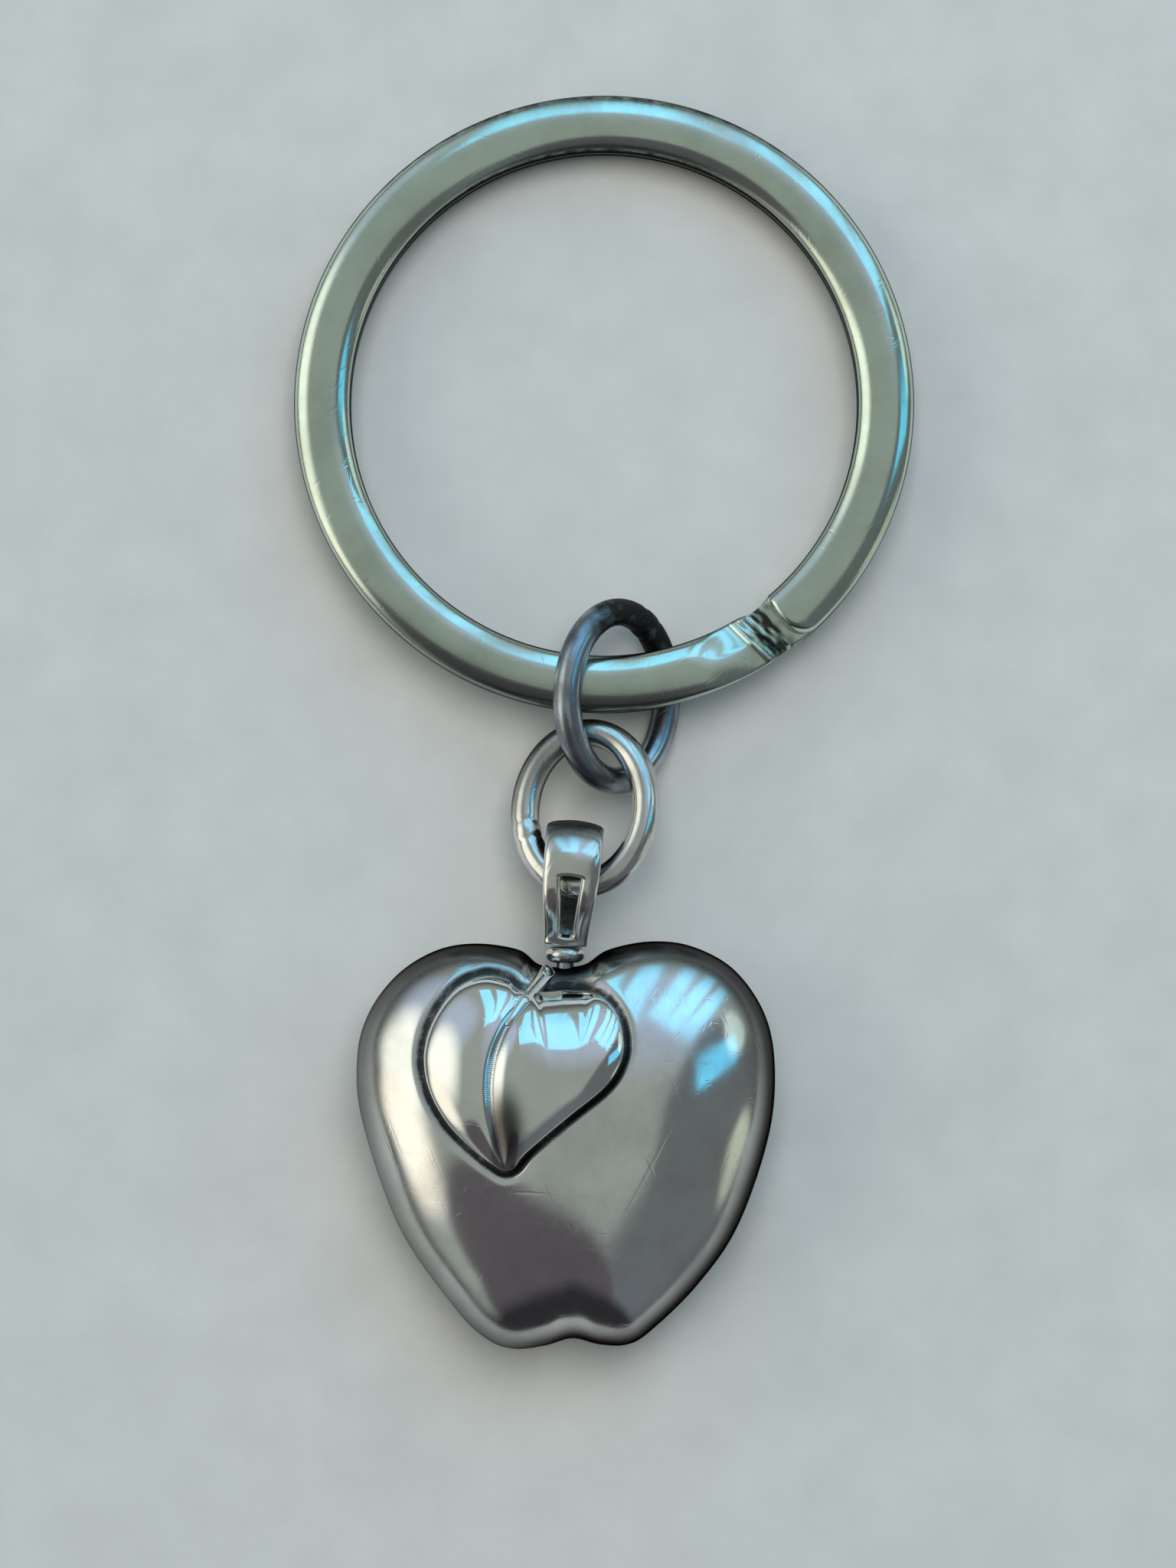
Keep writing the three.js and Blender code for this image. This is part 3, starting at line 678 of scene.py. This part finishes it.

# %% [markdown]
# ## Worn silver
#
# All of the pieces are silver, and what differs is how much of it is polished, scratched and tarnished. One function
# makes the metal: two noises vary the roughness, stretched noises in three directions make fine scratches, and two
# numbers at each point of a mesh darken the metal. The first is tarnish together with painted shade, near black and
# matt; the second is a painted dark reflection, which keeps some gloss and also darkens the tint of the reflections.


# %% Silver finish
class Recipe:
    """A material's node tree with short calls to add and link nodes."""

    def __init__(self, name):
        self.material = bpy.data.materials.new(name)
        self.material.use_nodes = True
        self.tree = self.material.node_tree
        self.shader = self.tree.nodes["Principled BSDF"]
        self.place = self.add("ShaderNodeTexCoord").outputs["Object"]

    def add(self, kind, **settings):
        """A node whose settings are given by name."""
        node = self.tree.nodes.new(kind)
        for key, value in settings.items():
            setattr(node, key, value)
        return node

    def link(self, source, target):
        """Joins an output to an input."""
        self.tree.links.new(source, target)

    def noise(self, scale, stretch=(1, 1, 1), turn=0.0, detail=3.0, roughness=0.6):
        """Noise at a scale in features per metre, drawn out along turned axes by the stretch."""
        moved = self.add("ShaderNodeMapping", vector_type="TEXTURE")
        moved.inputs["Rotation"].default_value = (0, 0, turn)
        moved.inputs["Scale"].default_value = stretch
        self.link(self.place, moved.inputs["Vector"])
        made = self.add("ShaderNodeTexNoise")
        made.inputs["Scale"].default_value = scale
        made.inputs["Detail"].default_value = detail
        made.inputs["Roughness"].default_value = roughness
        self.link(moved.outputs["Vector"], made.inputs["Vector"])
        return made.outputs["Fac"]

    def spread(self, value, low, high, to_low, to_high):
        """Maps a value from one span to another, with the ends clamped."""
        node = self.add("ShaderNodeMapRange", clamp=True)
        for socket, number in zip(("From Min", "From Max", "To Min", "To Max"), (low, high, to_low, to_high)):
            node.inputs[socket].default_value = number
        self.link(value, node.inputs["Value"])
        return node.outputs["Result"]

    def maths(self, operation, first, second):
        """Adds, multiplies or compares two values; each is an output or a plain number."""
        node = self.add("ShaderNodeMath", operation=operation)
        for socket, value in zip(node.inputs, (first, second)):
            if isinstance(value, (int, float)):
                socket.default_value = value
            else:
                self.link(value, socket)
        return node.outputs["Value"]

    def blend(self, share, first, second):
        """A colour between two, by share."""
        node = self.add("ShaderNodeMix", data_type="RGBA")
        self.link(share, node.inputs["Factor"])
        for socket, colour in zip(("A", "B"), (first, second)):
            target = next(s for s in node.inputs if s.name == socket and s.type == "RGBA")
            if isinstance(colour, tuple):
                target.default_value = (*colour, 1)
            else:
                self.link(colour, target)
        return next(s for s in node.outputs if s.type == "RGBA")


# Near black for tarnish and painted shade; a dark colour and edge tint for painted dark reflections.
TARNISH_AND_SHADE_COLOUR = (0.022, 0.018, 0.014)
DARK_REFLECTION_COLOUR = (0.065, 0.058, 0.056)
CLEAN_EDGE, DARK_REFLECTION_EDGE = (0.9, 0.9, 0.9), (0.03, 0.026, 0.024)
RIPPLE_STRENGTH, RIPPLE_HEIGHT, SCRATCH_DEPTH = 0.35, 0.03 * MM, 0.02 * MM


def silver(name, bright, dull_tint, smooth, rough, scratch, pits, cloudiness, seed):
    """
    Polished metal. Roughness runs between smooth and rough by a broad noise; scratch is the strength of the fine
    scratches; cloudiness is how far the same noise pulls the colour from bright towards the dull tint.
    """
    recipe = Recipe(name)
    cloud = recipe.noise(260, turn=seed, detail=4.0)
    mottle = recipe.noise(1500, turn=seed + 1.3, detail=5.0, roughness=0.7)
    hair_a = recipe.noise(3600, stretch=(24, 1, 1), turn=seed + 0.4, detail=1.0)
    hair_b = recipe.noise(4200, stretch=(30, 1, 1), turn=seed + 1.5, detail=1.0)
    hair_c = recipe.noise(3000, stretch=(20, 1, 1), turn=seed + 2.6, detail=1.0)
    hairs = recipe.maths("ADD", recipe.spread(hair_a, 0.66, 0.78, 0, 1), recipe.spread(hair_b, 0.67, 0.79, 0, 1))
    hairs = recipe.maths("ADD", hairs, recipe.spread(hair_c, 0.68, 0.78, 0, 1))
    # Tarnish and painted shade: near black in the base colour, and rougher.
    stain_and_shade = recipe.add("ShaderNodeAttribute", attribute_name="tarnish_and_painted_shade").outputs["Fac"]
    ragged_stain_and_shade = recipe.maths("MULTIPLY", stain_and_shade, recipe.spread(mottle, 0.25, 0.6, 0.55, 1.25))
    tint = recipe.blend(recipe.spread(cloud, 0.42, 0.68, 0, cloudiness), bright, dull_tint)
    # Painted dark reflection: darkens the base colour and the tint of the reflections, and adds some roughness.
    dark_reflection_input = recipe.add("ShaderNodeAttribute", attribute_name="painted_dark_reflection").outputs["Fac"]
    dark_reflection_share = recipe.spread(dark_reflection_input, 0, 1, 0, 1)
    tint = recipe.blend(dark_reflection_share, tint, DARK_REFLECTION_COLOUR)
    recipe.link(recipe.blend(dark_reflection_share, CLEAN_EDGE, DARK_REFLECTION_EDGE), recipe.shader.inputs["Specular Tint"])
    tint = recipe.blend(recipe.spread(ragged_stain_and_shade, 0.05, 0.95, 0, 0.93), tint, TARNISH_AND_SHADE_COLOUR)
    recipe.link(tint, recipe.shader.inputs["Base Color"])
    dull = recipe.spread(cloud, 0.38, 0.7, smooth, rough)
    causes = ((mottle, 0.5, 0.8, 0.06), (hairs, 0, 1, 0.04), (dark_reflection_input, 0, 1, 0.12), (ragged_stain_and_shade, 0, 1, 0.3))
    for cause, low, high, most in causes:
        dull = recipe.maths("ADD", dull, recipe.spread(cause, low, high, 0, most))
    recipe.link(dull, recipe.shader.inputs["Roughness"])
    ripple = recipe.add("ShaderNodeBump")
    ripple.inputs["Strength"].default_value = RIPPLE_STRENGTH
    ripple.inputs["Distance"].default_value = RIPPLE_HEIGHT
    recipe.link(recipe.noise(420, turn=seed + 2.2, detail=1.5), ripple.inputs["Height"])
    nick = recipe.add("ShaderNodeBump", invert=True)
    nick.inputs["Strength"].default_value = scratch
    nick.inputs["Distance"].default_value = SCRATCH_DEPTH
    recipe.link(recipe.maths("ADD", hairs, recipe.spread(mottle, 0.66, 0.78, 0, pits)), nick.inputs["Height"])
    recipe.link(ripple.outputs["Normal"], nick.inputs["Normal"])
    recipe.link(nick.outputs["Normal"], recipe.shader.inputs["Normal"])
    recipe.shader.inputs["Metallic"].default_value = 1.0
    print("finish:", name)
    return recipe.material


SILVER_BRIGHT = (0.90, 0.89, 0.87)
SILVER_TARNISH = (0.56, 0.52, 0.47)
# The ring's sage colours are a painted reflection of green surroundings, clouded at random; silver isn't green.
SAGE_REFLECTION_BRIGHT, SAGE_REFLECTION_TARNISH = (0.74, 0.82, 0.72), (0.48, 0.52, 0.43)
GUN_METAL, OXIDE = (0.50, 0.54, 0.60), (0.10, 0.10, 0.11)
LINK_BRIGHT, LINK_TARNISH = (0.88, 0.86, 0.82), (0.38, 0.34, 0.29)
# After the two colours: roughness where smooth and where rough, scratches, pits, cloudiness and the seed.
finishes = {
    "split_ring": silver("worn_band_silver_painted_sage", SAGE_REFLECTION_BRIGHT, SAGE_REFLECTION_TARNISH, 0.12, 0.2, 0.16, 0.5, 0.5, 0.2),
    "upper_jump_ring": silver("oxidised_link_silver", GUN_METAL, OXIDE, 0.16, 0.34, 0.3, 1.2, 0.9, 1.1),
    "lower_jump_ring": silver("polished_link_silver", LINK_BRIGHT, LINK_TARNISH, 0.12, 0.22, 0.2, 0.5, 0.6, 2.0),
    "bail": silver("bail_silver", LINK_BRIGHT, SILVER_TARNISH, 0.1, 0.2, 0.15, 0.4, 0.5, 0.7),
    "apple": silver("apple_body_silver", SILVER_BRIGHT, SILVER_TARNISH, 0.09, 0.17, 0.1, 0.25, 0.45, 1.6),
    "leaf": silver("mirror_leaf_silver", SILVER_BRIGHT, SILVER_TARNISH, 0.05, 0.09, 0.05, 0.15, 0.25, 2.6),
}

# %% [markdown]
# ## Where tarnish and painted shade gather
#
# Polishing never reaches the corners: the groove round the leaf and the upper link keep their dark oxide. The dimple
# at the stem, the seam and the gap between the coils, the ring beside the links and the bail's back strap and crown
# are darkened with painted shade. A painted dark reflection lies on the rim of the apple, on the side walls of the
# ring and on the sides that face the table. Each mesh carries both as numbers at its points, which move with it.

# %% Tarnish and painted shade at the points


def local_points(made):
    """A made mesh's points as an array."""
    flat = np.empty(len(made.data.vertices) * 3)
    made.data.vertices.foreach_get("co", flat)
    return flat.reshape(-1, 3)


def stain_and_shade(made, tarnish_and_painted_shade, painted_dark_reflection=0.0):
    """Stores tarnish with painted shade, and painted dark reflection, from 0 to 1 at each point, for the silver to
    read.
    """
    for name, values in (("tarnish_and_painted_shade", tarnish_and_painted_shade), ("painted_dark_reflection", painted_dark_reflection)):
        layer = made.data.attributes.new(name, "FLOAT", "POINT")
        values = np.broadcast_to(np.clip(values, 0, 1), len(made.data.vertices))
        layer.data.foreach_set("value", np.ascontiguousarray(values, dtype=np.float32))


def plain_noise(points, size, seed):
    """A soft random-looking field from -1 to 1: the mean of six sine waves with different directions."""
    rng = np.random.default_rng(seed)
    waves = rng.normal(size=(6, 3)) * 2 * np.pi / size
    return np.sin(points @ waves.T + rng.uniform(0, 2 * np.pi, 6)).mean(axis=1) * 2


def toward(points, degrees):
    """The cosine of the angle between each point's direction from the origin and a direction in the XY plane."""
    aim = np.radians(degrees)
    return (points[:, 0] * np.cos(aim) + points[:, 1] * np.sin(aim)) / (np.hypot(points[:, 0], points[:, 1]) + 1e-9)


front_points = local_points(front_shell) - APPLE_CENTRE
leaf_away = distance_to(leaf_outline, front_points[:, 0], front_points[:, 1])
groove_line = np.exp(-((leaf_away / (0.34 * MM)) ** 4)) * (front_points[:, 2] > 1.2 * MM)
# Painted shade in the dimple at the stem; the groove round the leaf keeps real oxide.
from_dimple = np.hypot(front_points[:, 0] + 0.2 * MM, front_points[:, 1] - 9.4 * MM)
dimple = np.exp(-((from_dimple / (0.9 * MM)) ** 2))
# A painted dark reflection on the low rim, weaker towards the lower left, the side the light comes from.
low_rim_dark_reflection = 1 - smoothstep(front_points[:, 2], 0.9 * MM, 2.4 * MM)
rim_dark_reflection_by_side = 0.95 - 0.4 * smoothstep(toward(front_points, 200), 0.2, 1.0)
stain_and_shade(front_shell, groove_line + 0.8 * dimple, low_rim_dark_reflection * rim_dark_reflection_by_side)

back_points = local_points(back_shell) - APPLE_CENTRE
# Random tarnish, and a painted dark reflection over the whole back, which faces the table.
stain_and_shade(back_shell, 0.1 + 0.1 * plain_noise(back_points, 6 * MM, 4), 0.75)

leaf_points = local_points(leaf) - APPLE_CENTRE
edge_away = distance_to(leaf_outline, leaf_points[:, 0], leaf_points[:, 1])
rib_away = distance_to(midrib_line, leaf_points[:, 0], leaf_points[:, 1])
rib_low = smoothstep(-leaf_points[:, 1], -4 * MM, 0)
# A painted dark reflection on a patch just right of the midrib.
from_patch = np.hypot(leaf_points[:, 0] + 3.05 * MM, 0.45 * (leaf_points[:, 1] - 1.1 * MM))
dark_reflection_right_of_rib = np.exp(-((from_patch / (0.95 * MM)) ** 4)) * smoothstep(leaf_points[:, 0], -3.9 * MM, -3.6 * MM)
leaf_edge = 0.8 * np.exp(-((edge_away / (0.06 * MM)) ** 2))
in_crease = 0.6 * np.exp(-((rib_away / (0.12 * MM)) ** 2)) * rib_low
stain_and_shade(leaf, leaf_edge + in_crease, 0.95 * dark_reflection_right_of_rib)
stain_and_shade(stem, 0.0)

ring_points = local_points(band) - RING_CENTRE
# Painted shade in the seam between the coils and, unevenly, in the gap between the ends.
coil_seam_shade = np.exp(-((ring_points[:, 2] / (0.22 * MM)) ** 2))
gap_angle = np.degrees(np.arctan2(ring_points[:, 1], ring_points[:, 0])) % 360
gap_shade = np.exp(-(((gap_angle - 305.6) / 3.0) ** 4)) * (0.6 + 0.8 * plain_noise(ring_points, 1.1 * MM, 21))
# A painted dark reflection on the lower coil and the side walls, and painted shade on the outer half beside the
# links.
low_side_dark_reflection = 1 - smoothstep(ring_points[:, 2], -0.9 * MM, 0.1 * MM)
ring_reach = np.hypot(ring_points[:, 0], ring_points[:, 1])
from_middle = np.abs(ring_reach - RING_OUTER_RADIUS + BAND_WIDTH / 2)
side_wall_dark_reflection = smoothstep(from_middle, 0.465 * BAND_WIDTH, 0.495 * BAND_WIDTH)
outer_half = smoothstep(ring_reach, RING_OUTER_RADIUS - 0.62 * BAND_WIDTH, RING_OUTER_RADIUS - 0.1 * BAND_WIDTH)
shade_by_the_links = 0.6 * outer_half * np.exp(-(((gap_angle - 256) / 34) ** 4))
stain_and_shade(band, 0.8 * coil_seam_shade + gap_shade, np.maximum.reduce([0.75 * low_side_dark_reflection, 0.9 * side_wall_dark_reflection, shade_by_the_links]))
upper_points = local_points(upper_link) - node_points("upper_jump_ring").mean(axis=0)
black_side = smoothstep(toward(upper_points, 55), 0.35, 0.9) * smoothstep(upper_points[:, 1], 0, 2 * MM)
bright_side = smoothstep(toward(upper_points, -20), 0.5, 0.95)
upper_stain = 0.18 + 0.75 * black_side + 0.2 * plain_noise(upper_points, 2.6 * MM, 12) - 0.5 * bright_side
# Oxide, darkest at the upper right and lighter towards the right, and a faint painted dark reflection elsewhere.
stain_and_shade(upper_link, upper_stain, 0.12 * (1 - bright_side))
lower_points = local_points(lower_link) - node_points("lower_jump_ring").mean(axis=0)
# Random tarnish, and a painted dark reflection on the side that faces the table.
underside_dark_reflection = smoothstep(-lower_points[:, 2], -0.1 * MM, 0.8 * MM)
stain_and_shade(lower_link, 0.02 + 0.12 * plain_noise(lower_points, 4 * MM, 3), 0.8 * underside_dark_reflection)
strap_points = local_points(strap) - BAIL_FOOT
# Painted shade on the back strap, under the front one, and painted shade with a dark reflection on the crown.
crown_shade = smoothstep(strap_points[:, 1], 4.9 * MM, 5.9 * MM)
stain_and_shade(strap, 0.75 * (strap_points[:, 2] < 0.3 * MM) + 0.45 * crown_shade, 0.5 * crown_shade)
stain_and_shade(collar, 0.1 + 0.2 * plain_noise(local_points(collar), 1.2 * MM, 5))
stain_and_shade(post, 0.5)

FINISH_OF = {
    "split_ring": "split_ring", "upper_jump_ring": "upper_jump_ring", "lower_jump_ring": "lower_jump_ring",
    "bail_loop": "bail", "bail_collar": "bail", "bail_post": "bail",
    "apple_front_shell": "apple", "apple_back_shell": "apple", "heart_leaf": "leaf", "leaf_stem": "leaf",
}
for piece, _, node, _ in PIECES:
    piece.data.materials.append(finishes[FINISH_OF[node]])
print("finished pieces:", len(PIECES))

# %% [markdown]
# ## Table and light
#
# Silver shows its surroundings, so the room is as much a part of the finish as the metal is. The table is pale and
# plain. Round it the room is painted by direction: sage overhead, a dark side beyond the apple, warm cream to the
# left and cool sky to the upper right.

# %% Table
table_finish = Recipe("pale_table")
grain = table_finish.noise(220, detail=5.0)
TABLE_DARK, TABLE_LIGHT = (0.66, 0.655, 0.63), (0.72, 0.715, 0.69)
table_tint = table_finish.blend(table_finish.spread(grain, 0.35, 0.7, 0, 1), TABLE_DARK, TABLE_LIGHT)
table_finish.link(table_tint, table_finish.shader.inputs["Base Color"])
table_finish.shader.inputs["Roughness"].default_value = 0.62
TABLE_HALF = 1.5
table_corners = [(x * TABLE_HALF, y * TABLE_HALF, 0) for x, y in ((-1, -1), (1, -1), (1, 1), (-1, 1))]
table_mesh = bpy.data.meshes.new("table_top")
table_mesh.from_pydata(table_corners, [], [(0, 1, 2, 3)])
table_mesh.materials.append(table_finish.material)
table = bpy.data.objects.new("table_top", table_mesh)
bpy.context.collection.objects.link(table)

# %% Room
ROOM_BASE = (0.30, 0.34, 0.32)
# Each patch: its name, its azimuth and elevation, its inner and outer angle in degrees, and its colour.
ROOM_PATCHES = [
    ("horizon_shade", 0, -90, 88, 104, (0.05, 0.055, 0.06)),
    ("north_sky", 66, 44, 12, 34, (0.42, 0.50, 0.62)),
    ("north_west", 136, 30, 8, 26, (0.42, 0.50, 0.62)),
    ("south_east", -45, 26, 22, 40, (0.13, 0.145, 0.16)),
    ("east_wall", -6, 36, 30, 34, (0.125, 0.14, 0.145)),
    ("east_cream", 22, 24, 9, 10.5, (0.62, 0.78, 0.74)),
    ("east_low_light", -18, 10, 5, 12, (0.50, 0.56, 0.46)),
    ("south_dark", 252, 43, 28, 34, (0.095, 0.088, 0.10)),
    ("south_low_dark", 268, 4, 22, 38, (0.025, 0.025, 0.03)),
    ("west_cream", 166, 32, 10, 28, (1.15, 1.20, 1.08)),
    ("west_cream_low", 194, 24, 8, 22, (1.2, 1.16, 1.0)),
]
world = bpy.data.worlds.new("painted_room")
bpy.context.scene.world = world
world.use_nodes = True
room = world.node_tree
background = room.nodes["Background"]
facing = room.nodes.new("ShaderNodeTexCoord").outputs["Generated"]


def room_patch(colour_so_far, azimuth, elevation, inner, outer, colour):
    """
    Paints a round patch of the room: full within the inner angle of its direction and gone beyond the outer one. The
    dot product with the direction is the cosine of the angle from it.
    """
    a, e = np.radians([azimuth, elevation])
    nearness = room.nodes.new("ShaderNodeVectorMath")
    nearness.operation = "DOT_PRODUCT"
    nearness.inputs[1].default_value = (np.cos(e) * np.cos(a), np.cos(e) * np.sin(a), np.sin(e))
    room.links.new(facing, nearness.inputs[0])
    edge = room.nodes.new("ShaderNodeMapRange")
    edge.interpolation_type = "SMOOTHSTEP"
    edge.inputs["From Min"].default_value = np.cos(np.radians(outer))
    edge.inputs["From Max"].default_value = np.cos(np.radians(inner))
    room.links.new(nearness.outputs["Value"], edge.inputs["Value"])
    mix = room.nodes.new("ShaderNodeMix")
    mix.data_type = "RGBA"
    room.links.new(edge.outputs["Result"], mix.inputs["Factor"])
    first, second = [s for s in mix.inputs if s.type == "RGBA"]
    if isinstance(colour_so_far, tuple):
        first.default_value = (*colour_so_far, 1)
    else:
        room.links.new(colour_so_far, first)
    second.default_value = (*colour, 1)
    return next(s for s in mix.outputs if s.type == "RGBA")


room_colour = ROOM_BASE
for _, *patch in ROOM_PATCHES:
    room_colour = room_patch(room_colour, *patch)
room.links.new(room_colour, background.inputs["Color"])
background.inputs["Strength"].default_value = 1.0
print("room patches:", len(ROOM_PATCHES))

# %% [markdown]
# ## Lights
#
# Tall window panes to the north and east give the cool streaks along the ring and the apple. A broad, weak light from
# above fills the table; the silver doesn't show it, because a lamp's square would be the brightest thing on the ring.

# %% Lights


def area_light(name, azimuth, elevation, distance, size, power, colour):
    """A rectangular light in a direction from the middle of the table, turned to face it."""
    a, e = np.radians([azimuth, elevation])
    place = distance * np.array([np.cos(e) * np.cos(a), np.cos(e) * np.sin(a), np.sin(e)])
    data = bpy.data.lights.new(name, "AREA")
    data.shape = "RECTANGLE"
    data.size, data.size_y = size
    data.energy = power
    data.color = colour
    made = bpy.data.objects.new(name, data)
    made.location = place
    made.rotation_euler = Vector(-place).to_track_quat("-Z", "Y").to_euler()
    bpy.context.collection.objects.link(made)
    return made


WINDOW_COLOUR = (0.06, 0.62, 1.0)
WINDOW_BRIGHTNESS = 0.95
WINDOW_DISTANCE = 0.6
# Each pane: its azimuth and elevation in degrees, its width and its height in metres.
WINDOW_PANES = [
    (13, 40, 0.13, 0.30), (40, 34, 0.07, 0.46), (52, 34, 0.08, 0.50),
    (64, 34, 0.07, 0.46), (85, 36, 0.12, 0.50), (102, 36, 0.10, 0.46),
]
for pane, (azimuth, elevation, wide, tall) in enumerate(WINDOW_PANES):
    power = np.pi * wide * tall * WINDOW_BRIGHTNESS
    area_light(f"window_pane_{pane}", azimuth, elevation, WINDOW_DISTANCE, (wide, tall), power, WINDOW_COLOUR)
FILL_POWER, FILL_SIZE, FILL_COLOUR = 3.6, (0.5, 0.5), (1.0, 0.985, 0.96)
table_fill = area_light("table_fill", 80, 72, 0.9, FILL_SIZE, FILL_POWER, FILL_COLOUR)
table_fill.visible_glossy = False
bpy.context.scene.view_settings.view_transform = "Standard"
print("lights:", len(WINDOW_PANES) + 1)
